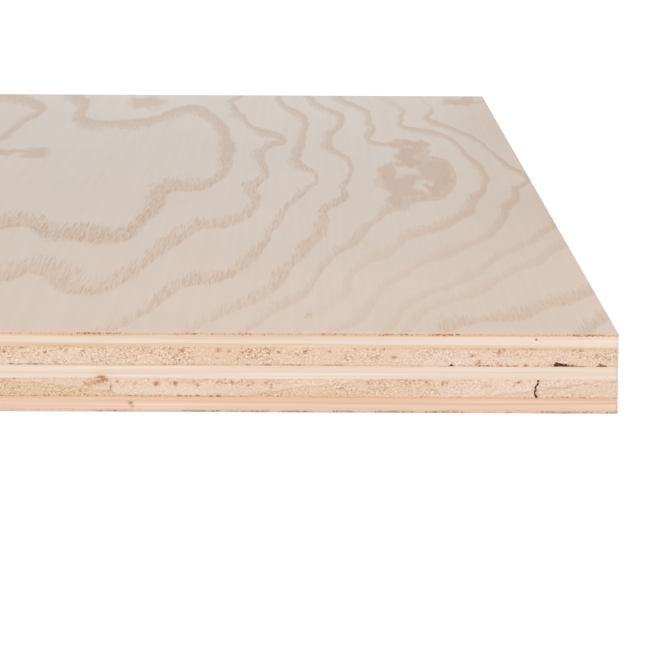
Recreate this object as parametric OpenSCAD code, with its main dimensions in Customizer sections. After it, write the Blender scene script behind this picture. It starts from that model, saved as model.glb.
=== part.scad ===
// Oak-faced plywood panel: seven veneers glued up with their grain crossing, sawn square on all four sides.
// The thin face and back are rotary-cut oak with the grain along Y. The five plies between them are softwood:
// the crossbands and the core ply have their grain along X, the two inner plies along Y.
// Lengths are in millimetres. The panel lies on its back, with the origin in the middle of the back.
// The sawn end with the core gaps and the split looks towards -Y.

/* [Panel] */
// Width, across the grain of the face
panel_w = 610; // [200:5:1250]
// Length, along the grain of the face
panel_l = 610; // [200:5:2500]
// Bevel worn on the four upright corners
corner_wear = 0.5; // [0.1:0.1:3]
// Bevel worn along the arrises of the face and the back
arris_wear = 0.1; // [0.05:0.05:0.3]

/* [Veneers] */
// Oak face
face_t = 0.6; // [0.4:0.1:3]
// Crossband under the face
upper_crossband_t = 2.7; // [1.5:0.1:6]
// Inner ply over the core
upper_inner_t = 4.1; // [2:0.1:6]
// Core ply
core_t = 3.0; // [1.5:0.1:6]
// Inner ply under the core
lower_inner_t = 4.1; // [2:0.1:6]
// Crossband over the back
lower_crossband_t = 2.9; // [1.5:0.1:6]
// Oak back
back_t = 0.6; // [0.4:0.1:3]

/* [Core gaps in the upper inner ply] */
// From the right-hand corner to the thin end of the wide gap
wide_gap_from = 7.5; // [5:0.5:80]
// Length of the wide gap
wide_gap_l = 7.2; // [2:0.1:20]
// Height of the wide gap at its shoulder
wide_gap_h = 0.8; // [0.3:0.1:1.5]
// From the right-hand corner to the thin end of the corner gap
corner_gap_from = 2.3; // [1:0.1:5]
// Length of the corner gap
corner_gap_l = 2.7; // [1:0.1:10]
// Height of the corner gap at its shoulder
corner_gap_h = 0.7; // [0.3:0.1:1.5]
// From the right-hand corner to the thin end of the small gap
small_gap_from = 36.5; // [30:0.5:90]
// Length of the small gap
small_gap_l = 1.6; // [1:0.1:10]
// Height of the small gap at its shoulder
small_gap_h = 0.5; // [0.3:0.1:1.5]
// Run of the steep end of each gap
gap_steep_end = 0.7; // [0.2:0.1:1]
// How far the gaps reach into the panel
gap_depth = 12; // [2:1:60]

/* [Split in the lower inner ply] */
// From the right-hand corner to the top of the split
split_from = 17.7; // [5:0.1:80]
// How far the split bends away from the corner at its middle
split_bend = 1.0; // [0:0.1:3]
// How far the split comes back again at its foot
split_return = 0.5; // [0:0.1:3]
// Width of the split
split_w = 0.45; // [0.2:0.05:1.5]
// How far the split reaches into the panel
split_depth = 25; // [5:1:100]

/* [Pin hole in the upper crossband] */
// From the right-hand corner to the pin hole
pin_hole_from = 18.4; // [5:0.1:80]
// From the top of its ply down to the middle of the pin hole
pin_hole_down = 0.7; // [0.4:0.1:1]
// Diameter of the pin hole
pin_hole_d = 0.4; // [0.2:0.05:0.6]
// Depth of the pin hole
pin_hole_depth = 3; // [1:0.5:10]

/* [Chip in the face] */
// From the far end of the panel to the chip on the right-hand arris
chip_from = 20; // [2:1:100]
// Length of the chip along the arris
chip_l = 9; // [2:0.5:40]
// How far the chip reaches into the face
chip_w = 1.4; // [0.4:0.1:5]

/* [Hidden] */
// Height of the underside of each veneer over the floor
lower_crossband_z = back_t;
lower_inner_z = lower_crossband_z + lower_crossband_t;
core_z = lower_inner_z + lower_inner_t;
upper_inner_z = core_z + core_t;
upper_crossband_z = upper_inner_z + upper_inner_t;
face_z = upper_crossband_z + upper_crossband_t;
// Right-hand side and the shown end of the panel
right_x = panel_w / 2;
end_y = -panel_l / 2;
// How far a cut runs past the surface that it opens through
clear = 1;
oak = [0.84, 0.78, 0.74];
pale_pine = [0.94, 0.86, 0.79];
red_pine = [0.93, 0.80, 0.71];
end_grain_pine = [0.89, 0.78, 0.69];

// Outline of a rectangle w by l about the origin with its corners cut off
module bevelled_rectangle(w, l, bevel) {
    x = w / 2;
    y = l / 2;
    polygon([
        [-x + bevel, -y], [x - bevel, -y], [x, -y + bevel], [x, y - bevel],
        [x - bevel, y], [-x + bevel, y], [-x, y - bevel], [-x, -y + bevel]
    ]);
}

// One veneer, t thick, standing on z = 0
module veneer(t) {
    linear_extrude(t) bevelled_rectangle(panel_w, panel_l, corner_wear);
}

// Section of a sheet w wide and t thick with its two upper edges worn
module worn_section(w, t) {
    x = w / 2;
    polygon([[-x, 0], [x, 0], [x, t - arris_wear], [x - arris_wear, t], [-x + arris_wear, t], [-x, t - arris_wear]]);
}

// Bar with the worn section, running along Y for the length l
module worn_bar(w, l, t) {
    translate([0, l / 2, 0]) rotate([90, 0, 0]) linear_extrude(l) worn_section(w, t);
}

// Outer veneer, t thick, with worn arrises on its upper side
module outer_veneer(t) {
    intersection() {
        veneer(t);
        worn_bar(panel_w, panel_l, t);
        rotate([0, 0, 90]) worn_bar(panel_l, panel_w, t);
    }
}

// Prism of a flat shape drawn in XZ about the foot of the right-hand corner, cut into the shown end
module cut_into_end(depth) {
    translate([right_x, end_y + depth, 0]) rotate([90, 0, 0]) linear_extrude(depth + clear) children();
}

// Wedge of a core gap, low at its end near the corner and steep at the other
module gap_shape(from, length, height) {
    far = -from - length;
    polygon([[-from, 0], [far, 0], [far, -clear], [-from, -clear]]);
    polygon([[-from, 0], [far + gap_steep_end, height], [far, 0]]);
}

// Bent slit over the whole height of the split ply
module split_shape(height) {
    top_x = -split_from;
    middle_x = top_x - split_bend;
    foot_x = middle_x + split_return;
    half = split_w / 2;
    polygon([
        [foot_x - half, -clear], [foot_x + half, -clear], [foot_x + half, 0], [middle_x + half, height / 3],
        [top_x + half, height], [top_x + half, height + clear], [top_x - half, height + clear],
        [top_x - half, height], [middle_x - half, height / 3], [foot_x - half, 0]
    ]);
}

// Plan of the splinter missing from the right-hand arris of the face
module chip_shape() {
    top_y = panel_l / 2 - chip_from;
    polygon([
        [right_x + clear, top_y], [right_x, top_y], [right_x - chip_w, top_y - chip_l / 2],
        [right_x, top_y - chip_l], [right_x + clear, top_y - chip_l]
    ]);
}

module face_veneer() {
    color(oak) translate([0, 0, face_z]) difference() {
        outer_veneer(face_t);
        translate([0, 0, -clear]) linear_extrude(face_t + 2 * clear) chip_shape();
    }
}

module upper_crossband() {
    color(pale_pine) translate([0, 0, upper_crossband_z]) difference() {
        veneer(upper_crossband_t);
        cut_into_end(pin_hole_depth) translate([-pin_hole_from, upper_crossband_t - pin_hole_down])
            circle(d = pin_hole_d, $fn = 24);
    }
}

module upper_inner_ply() {
    color(end_grain_pine) translate([0, 0, upper_inner_z]) difference() {
        veneer(upper_inner_t);
        cut_into_end(gap_depth) {
            gap_shape(wide_gap_from, wide_gap_l, wide_gap_h);
            gap_shape(corner_gap_from, corner_gap_l, corner_gap_h);
            gap_shape(small_gap_from, small_gap_l, small_gap_h);
        }
    }
}

module core_ply() {
    color(pale_pine) translate([0, 0, core_z]) veneer(core_t);
}

module lower_inner_ply() {
    color(end_grain_pine) translate([0, 0, lower_inner_z]) difference() {
        veneer(lower_inner_t);
        cut_into_end(split_depth) split_shape(lower_inner_t);
    }
}

module lower_crossband() {
    color(red_pine) translate([0, 0, lower_crossband_z]) veneer(lower_crossband_t);
}

module back_veneer() {
    color(oak) translate([0, 0, back_t]) mirror([0, 0, 1]) outer_veneer(back_t);
}

face_veneer();
upper_crossband();
upper_inner_ply();
core_ply();
lower_inner_ply();
lower_crossband();
back_veneer();
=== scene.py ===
# %% [markdown]
# # Oak-faced plywood panel
# The photograph looks along the face of a plywood panel to the far edge, with one sawn end in
# front. Seven veneers make the panel: a thin oak face, five thicker softwood plies whose grain
# crosses from ply to ply, and a thin oak back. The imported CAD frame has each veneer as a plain
# solid. Here every one is replaced, in the same place, by a surface with the sawn relief, the
# gaps and the grain that the photograph shows.

import bpy
import numpy as np
from mathutils import Matrix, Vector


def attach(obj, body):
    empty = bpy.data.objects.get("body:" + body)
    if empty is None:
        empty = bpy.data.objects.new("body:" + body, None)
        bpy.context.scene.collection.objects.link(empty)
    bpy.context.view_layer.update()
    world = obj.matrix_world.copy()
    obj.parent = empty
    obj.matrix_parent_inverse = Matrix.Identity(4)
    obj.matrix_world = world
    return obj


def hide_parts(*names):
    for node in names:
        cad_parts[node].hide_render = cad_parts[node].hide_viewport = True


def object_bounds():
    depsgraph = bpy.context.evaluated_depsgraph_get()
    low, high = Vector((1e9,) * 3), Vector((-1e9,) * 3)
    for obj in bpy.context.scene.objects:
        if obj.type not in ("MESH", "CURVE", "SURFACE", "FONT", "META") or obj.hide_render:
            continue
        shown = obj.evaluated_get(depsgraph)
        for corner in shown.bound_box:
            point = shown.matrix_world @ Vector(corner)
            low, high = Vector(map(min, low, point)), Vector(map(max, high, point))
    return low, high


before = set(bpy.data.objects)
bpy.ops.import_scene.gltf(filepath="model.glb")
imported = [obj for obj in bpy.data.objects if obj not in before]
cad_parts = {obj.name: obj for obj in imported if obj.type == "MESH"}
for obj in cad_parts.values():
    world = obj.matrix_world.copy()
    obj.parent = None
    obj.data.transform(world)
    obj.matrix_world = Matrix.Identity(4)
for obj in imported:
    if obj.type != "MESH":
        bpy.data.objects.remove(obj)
cad_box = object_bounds()
MM = 0.001
HALF_W = cad_box[1][0] / MM
HALF_L = cad_box[1][1] / MM
TOP = cad_box[1][2] / MM
print("panel in mm:", 2 * HALF_W, 2 * HALF_L, TOP)

# %% [markdown]
# ## Camera
# A camera can be placed by trial, or worked out from straight edges whose length and height are
# known. Here it was worked out: the end's corners, the far edge and the pores that run away from
# the viewer give its place, its turn and its focal length. The camera comes first because the
# figure of the face is drawn through it: a place in the picture is carried along its ray to the
# plane of the face, so the bands sit on the panel itself.

# %% Set the camera
IMAGE = 646
MIDDLE = (IMAGE - 1) / 2
FOCAL = 3400.0
SENSOR = 36.0
CAMERA_PLACE = np.array([0.23585, -1.05237, 0.1358])
YAW, PITCH, ROLL = np.radians([0.2451, 8.7875, -0.2904])


def camera_axes():
    """Right, down and forward: forward from yaw and pitch, then the level right and down turned
    by the roll."""
    forward = np.array([np.sin(YAW) * np.cos(PITCH), np.cos(YAW) * np.cos(PITCH), -np.sin(PITCH)])
    level = np.cross(forward, (0.0, 0.0, 1.0))
    level /= np.linalg.norm(level)
    under = np.cross(forward, level)
    right = np.cos(ROLL) * level + np.sin(ROLL) * under
    down = np.cos(ROLL) * under - np.sin(ROLL) * level
    return right, down, forward


def place_matrix(right, up, back, place):
    """Matrix that puts an object at a place, with its X, Y and Z axes along the three directions."""
    matrix = np.eye(4)
    matrix[:3, :] = np.column_stack([right, up, back, place])
    return Matrix(matrix.tolist())


RIGHT, DOWN, FORWARD = camera_axes()
camera = bpy.data.objects.new("camera", bpy.data.cameras.new("camera"))
camera.data.sensor_width = SENSOR
camera.data.lens = SENSOR * FOCAL / IMAGE
camera.matrix_world = place_matrix(RIGHT, -DOWN, -FORWARD, CAMERA_PLACE)
bpy.context.scene.collection.objects.link(camera)
bpy.context.scene.camera = camera
print("camera lens in mm:", round(camera.data.lens, 2))

# %% From the picture to the face and back


def on_face(spots):
    """Places on the face, in mm, of spots in the picture: each ray is the forward direction plus
    right and down by the spot's offset from the middle over the focal length, and it is cut by
    the plane of the face."""
    offset = (np.asarray(spots, dtype=float) - MIDDLE) / FOCAL
    ray = FORWARD + offset[:, :1] * RIGHT + offset[:, 1:] * DOWN
    reach = (TOP * MM - CAMERA_PLACE[2]) / ray[:, 2:]
    return (CAMERA_PLACE + reach * ray)[:, :2] / MM


def in_picture(x, y):
    """Columns and rows in the picture of places on the face, in mm: the way back along the rays."""
    apart = np.stack([x * MM, y * MM, np.full_like(x, TOP * MM)], axis=-1) - CAMERA_PLACE
    depth = apart @ FORWARD
    return MIDDLE + FOCAL * (apart @ RIGHT) / depth, MIDDLE + FOCAL * (apart @ DOWN) / depth


print("middle of the picture on the face in mm:", on_face([(MIDDLE, MIDDLE)]).round(1).tolist())

# %% [markdown]
# ## Floor and light
# The panel lies on white in even, shadowless light. A picture of a studio could light it, but
# plain lamps can be moved one by one until each part of the panel has its tone. A wide floor and
# a pale world do most of the work. One broad lamp over the viewer's left shoulder lights the
# sawn end a little across, so that its pores and gaps stay readable. Four weak lamps tint the
# panel as daylight from several windows would: a warm one over the near part of the face, and
# cool ones behind the far edge, beside the right-hand edge and at the near corner.

# %% Make the floor
FLOOR_REACH = 6
floor_mesh = bpy.data.meshes.new("floor")
floor_corners = [(FLOOR_REACH * a, FLOOR_REACH * b, 0) for a, b in ((-1, -1), (1, -1), (1, 1), (-1, 1))]
floor_mesh.from_pydata(floor_corners, [], [(0, 1, 2, 3)])
floor = bpy.data.objects.new("floor", floor_mesh)
bpy.context.scene.collection.objects.link(floor)
paper = bpy.data.materials.new("white_paper")
paper.use_nodes = True
paper_shader = paper.node_tree.nodes["Principled BSDF"]
paper_shader.inputs["Base Color"].default_value = (0.96, 0.97, 0.98, 1.0)
paper_shader.inputs["Roughness"].default_value = 0.9
paper_shader.inputs["Specular IOR Level"].default_value = 0.0
paper_shader.inputs["Emission Color"].default_value = (0.85, 1.0, 1.3, 1.0)
paper_shader.inputs["Emission Strength"].default_value = 0.16
floor_mesh.materials.append(paper)
print("floor in m:", 2 * FLOOR_REACH, "square")

# %% Set the light
scene = bpy.context.scene
scene.view_settings.view_transform = "Standard"
scene.view_settings.look = "None"
scene.world = scene.world or bpy.data.worlds.new("studio")
scene.world.use_nodes = True
sky = scene.world.node_tree.nodes["Background"]
sky.inputs["Color"].default_value = (1.0, 1.0, 1.0, 1.0)
sky.inputs["Strength"].default_value = 0.82
# Name, place and aim in m, size in m, watts and colour of each lamp
LAMPS = (
    ("key", (-0.9, -3.0, 4.2), (0.1, -0.1, 0.0), 4.0, 62.0, (1.0, 1.0, 1.0)),
    ("fill", (0.23, -0.36, 0.238), (0.23, -0.25, 0.0), 0.3, 0.16, (1.0, 0.81, 0.64)),
    ("rim", (0.19, 0.41, 0.1), (0.19, 0.25, 0.0), 0.22, 0.066, (0.47, 0.74, 1.0)),
    ("side", (0.42, 0.16, 0.09), (0.26, 0.16, 0.0), 0.4, 0.09, (0.5, 0.7, 1.0)),
    ("corner", (0.4, -0.2, 0.06), (0.305, -0.29, 0.01), 0.1, 0.03, (0.35, 0.65, 1.0)),
)


def soft_lamp(name, place, aim, size, watts, colour):
    """Square area lamp at a place, turned so that its minus Z axis points at the aim."""
    lamp = bpy.data.objects.new(name, bpy.data.lights.new(name, "AREA"))
    lamp.data.size = size
    lamp.data.energy = watts
    lamp.data.color = colour
    back = np.subtract(place, aim)
    back /= np.linalg.norm(back)
    side = np.cross((0.0, 0.0, 1.0), back)
    side /= np.linalg.norm(side)
    lamp.matrix_world = place_matrix(side, np.cross(back, side), back, place)
    scene.collection.objects.link(lamp)


for lamp_row in LAMPS:
    soft_lamp(*lamp_row)
print("lights:", [lamp_row[0] for lamp_row in LAMPS], "and the world")

# %% [markdown]
# ## Shader arithmetic
# A material is a formula of the place on the surface, and written as a chain of nodes it is hard
# to read. A small class that wraps an output lets the formula be written as an expression, and
# each operator adds its node.

# %% Wrap the shader nodes


class Value:
    """A number that changes over the surface. An operator adds a Math node of that kind."""

    def __init__(self, finish, socket):
        self.finish = finish
        self.socket = socket

    def __add__(self, other):
        return self.finish.maths("ADD", self, other)

    def __sub__(self, other):
        return self.finish.maths("SUBTRACT", self, other)

    def __rsub__(self, other):
        return self.finish.maths("SUBTRACT", other, self)

    def __mul__(self, other):
        return self.finish.maths("MULTIPLY", self, other)

    def __truediv__(self, other):
        return self.finish.maths("DIVIDE", self, other)

    def __rtruediv__(self, other):
        return self.finish.maths("DIVIDE", other, self)

    __radd__ = __add__
    __rmul__ = __mul__


class Finish:
    """A material in the making. node() adds any node: its settings first, then values or links
    on its sockets."""

    def __init__(self, name):
        self.material = bpy.data.materials.new(name)
        self.material.use_nodes = True
        self.tree = self.material.node_tree
        self.shader = self.tree.nodes["Principled BSDF"]
        self.place = self.node("ShaderNodeTexCoord", output="Object")

    def node(self, kind, settings=None, sockets=None, output=0):
        made = self.tree.nodes.new(kind)
        for name, value in (settings or {}).items():
            setattr(made, name, value)
        for name, value in (sockets or {}).items():
            self.put(made.inputs[name], value)
        return Value(self, made.outputs[output])

    def put(self, socket, value):
        if isinstance(value, Value):
            self.tree.links.new(value.socket, socket)
        else:
            socket.default_value = value

    def maths(self, operation, first, second=0.0):
        return self.node("ShaderNodeMath", {"operation": operation}, {0: first, 1: second})

    def mix(self, factor, first, second):
        """Colour that goes from the first to the second as the factor goes from 0 to 1."""
        settings = {"data_type": "RGBA", "blend_type": "MIX", "clamp_factor": True}
        return self.node("ShaderNodeMix", settings, {0: factor, 6: first, 7: second}, output=2)

    def rise(self, value, low, high):
        """0 below low, 1 above high, and a smooth S between them."""
        sockets = {"Value": value, "From Min": low, "From Max": high}
        return self.node("ShaderNodeMapRange", {"interpolation_type": "SMOOTHSTEP"}, sockets)

    def noise(self, reach, detail, shift=0.0):
        """Noise of about 0 to 1, whose lumps are as long along X, Y and Z as reach says, in mm."""
        scale = tuple(1.0 / (r * MM) for r in reach)
        sockets = {0: self.place, 1: scale, 2: (shift, shift, shift)}
        spot = self.node("ShaderNodeVectorMath", {"operation": "MULTIPLY_ADD"}, sockets)
        sockets = {"Vector": spot, "Scale": 1.0, "Detail": detail, "Roughness": 0.5}
        return self.node("ShaderNodeTexNoise", None, sockets)

    def painted(self, name):
        """The number that a piece's mesh carries under this name."""
        return self.node("ShaderNodeAttribute", {"attribute_name": name}, output="Fac")

    def finish(self, colour, rough, height, bump_mm, bump):
        """Links the colour, the roughness and the bump of a height that goes from 0 to 1 over
        bump_mm."""
        self.put(self.shader.inputs["Base Color"], colour)
        self.put(self.shader.inputs["Roughness"], rough)
        sockets = {"Height": height, "Distance": bump_mm * MM, "Strength": bump}
        self.put(self.shader.inputs["Normal"], self.node("ShaderNodeBump", None, sockets))
        return self.material


def tone(red, green, blue):
    """Linear colour of screen values from 0 to 255: ((c + 0.055) / 1.055) to the power 2.4."""
    screen = np.array([red, green, blue]) / 255
    return tuple(((screen + 0.055) / 1.055) ** 2.4) + (1.0,)


print("screen grey 128 as a linear tone:", round(tone(128, 128, 128)[0], 3))

# %% [markdown]
# ## Waves and pieces
# A few helpers serve every piece. The unevenness could come from a noise texture and a modifier,
# but then the shape and the painted numbers could not share it. Here random waves, added up,
# give the uneven relief and the wandering of the grain, and they are the same at every run
# because their directions come from a seed. Smooth steps, windows and bell curves say where
# along a line something happens. The last helper puts arrays of points and faces into a mesh,
# with the numbers that the materials read and a map for baking.

# %% Waves, steps and bells
WAVE_COUNT = 48


def waves(seed, first, second, reach_first, reach_second):
    """Uneven field of about -2 to 2 over two parameters: the sum of many cosines with random
    phases, whose angle per mm is drawn from a bell curve of width 2 / reach in each parameter."""
    dice = np.random.default_rng(seed)
    rates = 2.0 * dice.normal(size=(WAVE_COUNT, 2))
    phases = dice.uniform(0, 2 * np.pi, WAVE_COUNT)
    total = 0.0
    for (a, b), phase in zip(rates, phases):
        total = total + np.cos(a * first / reach_first + b * second / reach_second + phase)
    return total * np.sqrt(2.0 / WAVE_COUNT)


def ripple(seed, along, reach):
    """The same unevenness along one parameter."""
    return waves(seed, along, 0.0, reach, 1.0)


def smooth(low, high, value):
    """0 below low, 1 above high, and 3t^2 - 2t^3 between them."""
    t = np.clip((value - low) / (high - low), 0.0, 1.0)
    return t * t * (3.0 - 2.0 * t)


def window(value, start, full, wane, end):
    """1 from full to wane, falling smoothly to 0 at start and at end."""
    return smooth(start, full, value) * smooth(end, wane, value)


def bell(value, middle, width):
    """Bell curve that is 1 at the middle and falls off over the width."""
    return np.exp(-((value - middle) / width) ** 2)


print("spread of the waves:", round(float(np.std(ripple(1, np.arange(500.0), 5.0))), 2))

# %% Put a piece into the scene


def put_piece(name, node, points_mm, faces, bake, painted, material):
    """Mesh object at the origin from points in mm and faces, with a baking map given for every
    face corner and the painted numbers given for every point. It takes the CAD node's place and
    rides on the one body."""
    mesh = bpy.data.meshes.new(name)
    mesh.from_pydata((points_mm * MM).tolist(), [], faces)
    mesh.uv_layers.new(name="OFBake").data.foreach_set("uv", bake.astype(np.float32).ravel())
    for label, numbers in painted.items():
        layer = mesh.attributes.new(label, "FLOAT", "POINT")
        layer.data.foreach_set("value", np.asarray(numbers, dtype=np.float32).ravel())
    mesh.shade_smooth()
    mesh.set_sharp_from_angle(angle=np.radians(50))
    mesh.materials.append(material)
    piece = bpy.data.objects.new(name, mesh)
    scene.collection.objects.link(piece)
    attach(piece, "root")
    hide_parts(node)
    print(name, "triangles:", sum(len(face) - 2 for face in faces))


# %% [markdown]
# ## Figure of the face
# A rotary-cut veneer is peeled from a turning log, so the yearly rings meet its surface at a very
# flat angle and draw wide, wandering bands. The bands could be painted one by one, but then they
# would have no common logic. Here each ring is a height line of one smooth hill: the ring's number
# is given along the bands that the photograph shows, and a thin-plate spline, the shape of a bent
# sheet of metal, fills in between. Beyond the picture a few long waves carry the figure on over
# the rest of the panel.

# %% Bands that the photograph shows
# Ring numbers, and columns and rows of the picture along the middle of their bands
BANDS = {
    1: [(0, 222), (20, 221), (37, 223), (48, 229), (70, 231), (96, 233), (122, 234), (132, 229),
        (138, 223), (147, 212), (161, 195), (167, 188), (184, 187), (204, 185), (218, 177),
        (225, 160), (225, 146), (223, 130), (215, 120), (206, 114), (194, 109), (173, 112),
        (162, 117), (142, 122), (112, 123), (86, 123), (79, 116), (84, 108), (78, 98), (70, 92)],
    2: [(0, 276), (15, 272), (28, 267), (45, 271), (55, 278), (68, 287), (90, 289), (113, 281),
        (133, 271), (153, 256), (168, 242), (184, 231), (205, 224), (225, 222), (245, 212),
        (253, 198), (254, 184), (266, 176), (260, 163), (262, 153), (271, 143), (281, 140),
        (265, 133), (247, 123), (236, 112), (231, 102), (238, 94)],
    3: [(106, 330), (118, 325), (135, 316), (145, 311), (158, 301), (164, 296), (174, 289),
        (183, 283), (204, 278), (229, 272), (243, 262), (258, 248), (266, 239), (268, 231),
        (280, 213), (294, 197), (315, 182), (315, 174), (298, 162), (296, 151), (302, 138),
        (304, 122), (290, 110), (279, 98)],
    4: [(188, 331), (196, 324), (207, 320), (216, 315), (225, 311), (247, 301), (270, 287),
        (286, 271), (302, 253), (312, 241), (322, 224), (326, 208), (342, 199), (345, 184),
        (352, 166), (344, 157), (328, 147), (329, 134), (339, 124), (341, 116), (323, 108),
        (309, 98)],
    5: [(245, 331), (258, 320), (275, 308), (295, 298), (306, 290), (318, 277), (324, 267),
        (331, 258), (352, 241), (372, 222), (393, 206), (338, 99), (355, 106), (369, 119),
        (367, 139), (386, 144)],
    6: [(402, 112), (403, 127), (427, 131), (448, 138), (463, 152), (479, 165), (488, 176),
        (482, 188), (473, 199), (465, 212), (448, 223), (419, 231), (401, 237), (390, 250),
        (371, 258), (356, 268), (348, 285), (342, 296), (325, 307), (298, 331)],
    7: [(431, 108), (427, 117), (439, 124), (460, 132), (475, 139), (486, 147), (498, 157),
        (510, 167), (527, 179), (515, 188), (512, 199), (506, 212), (485, 236), (468, 244),
        (448, 252), (419, 262), (395, 279), (376, 291), (364, 309), (355, 320), (330, 331)],
    8: [(553, 226), (530, 240), (509, 251), (489, 263), (482, 269), (448, 287), (431, 290),
        (419, 297), (399, 311), (394, 320), (386, 331)],
    9: [(568, 240), (548, 252), (530, 263), (515, 268), (497, 279), (484, 287), (456, 298),
        (431, 306), (417, 314), (410, 325), (406, 333)],
    10: [(591, 288), (570, 296), (552, 302), (529, 311), (499, 317), (478, 320), (452, 326),
         (444, 332)],
    11: [(605, 315), (591, 326), (579, 334)],
}
# The hook inside the first ring, the outline of the knot, and plain wood between the bands
ODD_SPOTS = {
    0.0: [(0, 138), (12, 130), (28, 117), (38, 112), (37, 106), (28, 102), (12, 97)],
    0.4: [(8, 146), (22, 140), (36, 132), (52, 122), (60, 150), (8, 157), (30, 158), (100, 170),
          (150, 150), (60, 190), (190, 150), (58, 105), (120, 140)],
    -0.4: [(3, 118), (16, 112), (22, 107)],
    1.5: [(110, 100), (105, 112), (150, 111), (133, 100), (160, 98), (182, 99), (205, 100),
          (218, 108), (10, 247), (40, 247), (62, 256), (85, 261), (110, 257)],
    4.5: [(372, 185), (378, 165), (384, 152)],
    4.6: [(404, 165), (412, 176), (428, 172), (400, 186), (408, 148)],
    5.0: [(421, 147), (414, 157), (446, 162), (453, 173), (448, 186), (436, 198), (411, 198),
          (402, 206)],
    5.5: [(395, 128), (450, 150), (468, 180), (440, 208), (382, 108)],
    6.5: [(415, 118), (500, 185), (470, 225)],
    7.5: [(470, 112), (490, 124), (510, 145), (540, 190), (520, 215), (450, 105), (470, 98),
          (442, 98)],
}
print("bands:", len(BANDS), "with", sum(len(spots) for spots in BANDS.values()), "spots")

# %% Ring numbers over the face
# Share by which lengths along the grain count in the bending, the length in mm that counts as 1,
# and how little the sheet has to pass through its spots
SQUEEZE = 0.27
UNIT = 100.0
STIFFNESS = 2e-4


def hidden_rings(x, y):
    """Ring number where the photograph shows nothing: a level plus four long waves, across and
    along the grain."""
    across = 3.0 * np.sin(x / 47.0 + y / 210.0 + 0.6) + 1.9 * np.sin(x / 27.0 - y / 140.0 + 2.2)
    along = 1.6 * np.cos(y / 75.0 + x / 95.0) + 0.9 * np.sin(y / 41.0 - x / 60.0)
    return 3.4 + across + along


def bend_weight(apart_x, apart_y):
    """Thin-plate kernel, r squared times the logarithm of r, with lengths along the grain
    squeezed."""
    square = (apart_x / UNIT) ** 2 + (apart_y * SQUEEZE / UNIT) ** 2
    return 0.5 * square * np.log(square + 1e-9)


def ring_field(spots, numbers, x, y):
    """Thin-plate spline through the numbers at the spots, read at x and y: the sum of kernels and
    a tilted plane, whose weights solve one linear system. The stiffness lets the sheet miss a
    spot a little."""
    n = len(spots)
    system = np.zeros((n + 3, n + 3))
    apart = spots[:, None, :] - spots[None, :, :]
    system[:n, :n] = bend_weight(apart[..., 0], apart[..., 1]) + STIFFNESS * np.eye(n)
    system[:n, n:] = np.column_stack([np.ones(n), spots / UNIT])
    system[n:, :n] = system[:n, n:].T
    weights = np.linalg.solve(system, np.concatenate([numbers, np.zeros(3)]))
    total = weights[n] + weights[n + 1] * x / UNIT + weights[n + 2] * y / UNIT
    for spot, weight in zip(spots, weights[:n]):
        total = total + weight * bend_weight(x - spot[0], y - spot[1])
    return total


def known_rings():
    """Spots on the face and their ring numbers: the bands in view, and the long waves on a grid
    out of view."""
    rows = list(BANDS.items()) + list(ODD_SPOTS.items())
    seen = np.concatenate([on_face(spots) for number, spots in rows])
    numbers = np.concatenate([np.full(len(spots), float(number)) for number, spots in rows])
    grid_x, grid_y = np.meshgrid(np.arange(-300.0, 70.0, 40.0), np.linspace(-300.0, 300.0, 8))
    hidden = np.column_stack([grid_x.ravel(), grid_y.ravel()])
    spots = np.concatenate([seen, hidden])
    return spots, np.concatenate([numbers, hidden_rings(hidden[:, 0], hidden[:, 1])])


ring_spots, ring_numbers = known_rings()


def face_rings(x, y):
    """Ring numbers of the face: the bent sheet through the known spots, read a little to one side
    so that every line wanders by about a third of a millimetre."""
    wander = 0.25 * waves(11, x, y, 9.0, 40.0) + 0.2 * waves(12, x, y, 3.0, 16.0)
    return ring_field(ring_spots, ring_numbers, x + wander, y)


print("ring spots:", len(ring_spots))

# %% Width and strength of the bands
BAND_WIDE = 3.0
EYE_HEIGHT = CAMERA_PLACE[2] / MM - TOP
# Rows of the picture over which the far part passes into the near part
NEAR_FROM, NEAR_TO = 150.0, 235.0
# Ring numbers and the width of their bands, as a share, in the near and in the far part
NEAR_WIDTHS = ((0.0, 1.0, 2.0, 3.0, 4.0, 5.0, 6.0, 7.0, 8.5, 10.0, 11.0),
               (1.2, 1.35, 1.45, 1.0, 0.95, 0.75, 0.85, 0.75, 0.6, 0.85, 0.55))
FAR_WIDTHS = ((1.0, 2.0, 3.0, 5.0, 6.0, 8.0), (1.4, 1.1, 0.9, 0.85, 0.75, 0.65))
# How dark every band is in the far part, then ring numbers and how dark theirs are in the near one
FAR_STRENGTH = 0.6
NEAR_STRENGTHS = ((0.5, 1.0, 1.6, 2.0, 2.6, 3.0, 5.2, 5.7, 9.2, 9.7, 10.5),
                  (0.56, 0.6, 0.56, 0.42, 0.42, 0.48, 0.44, 0.24, 0.28, 0.42, 0.45))
# Ring numbers and how open the pores in their bands are
OPENNESS = ((3.5, 4.5, 5.5, 9.2, 9.7), (1.0, 0.6, 0.25, 0.25, 0.7))


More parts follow.
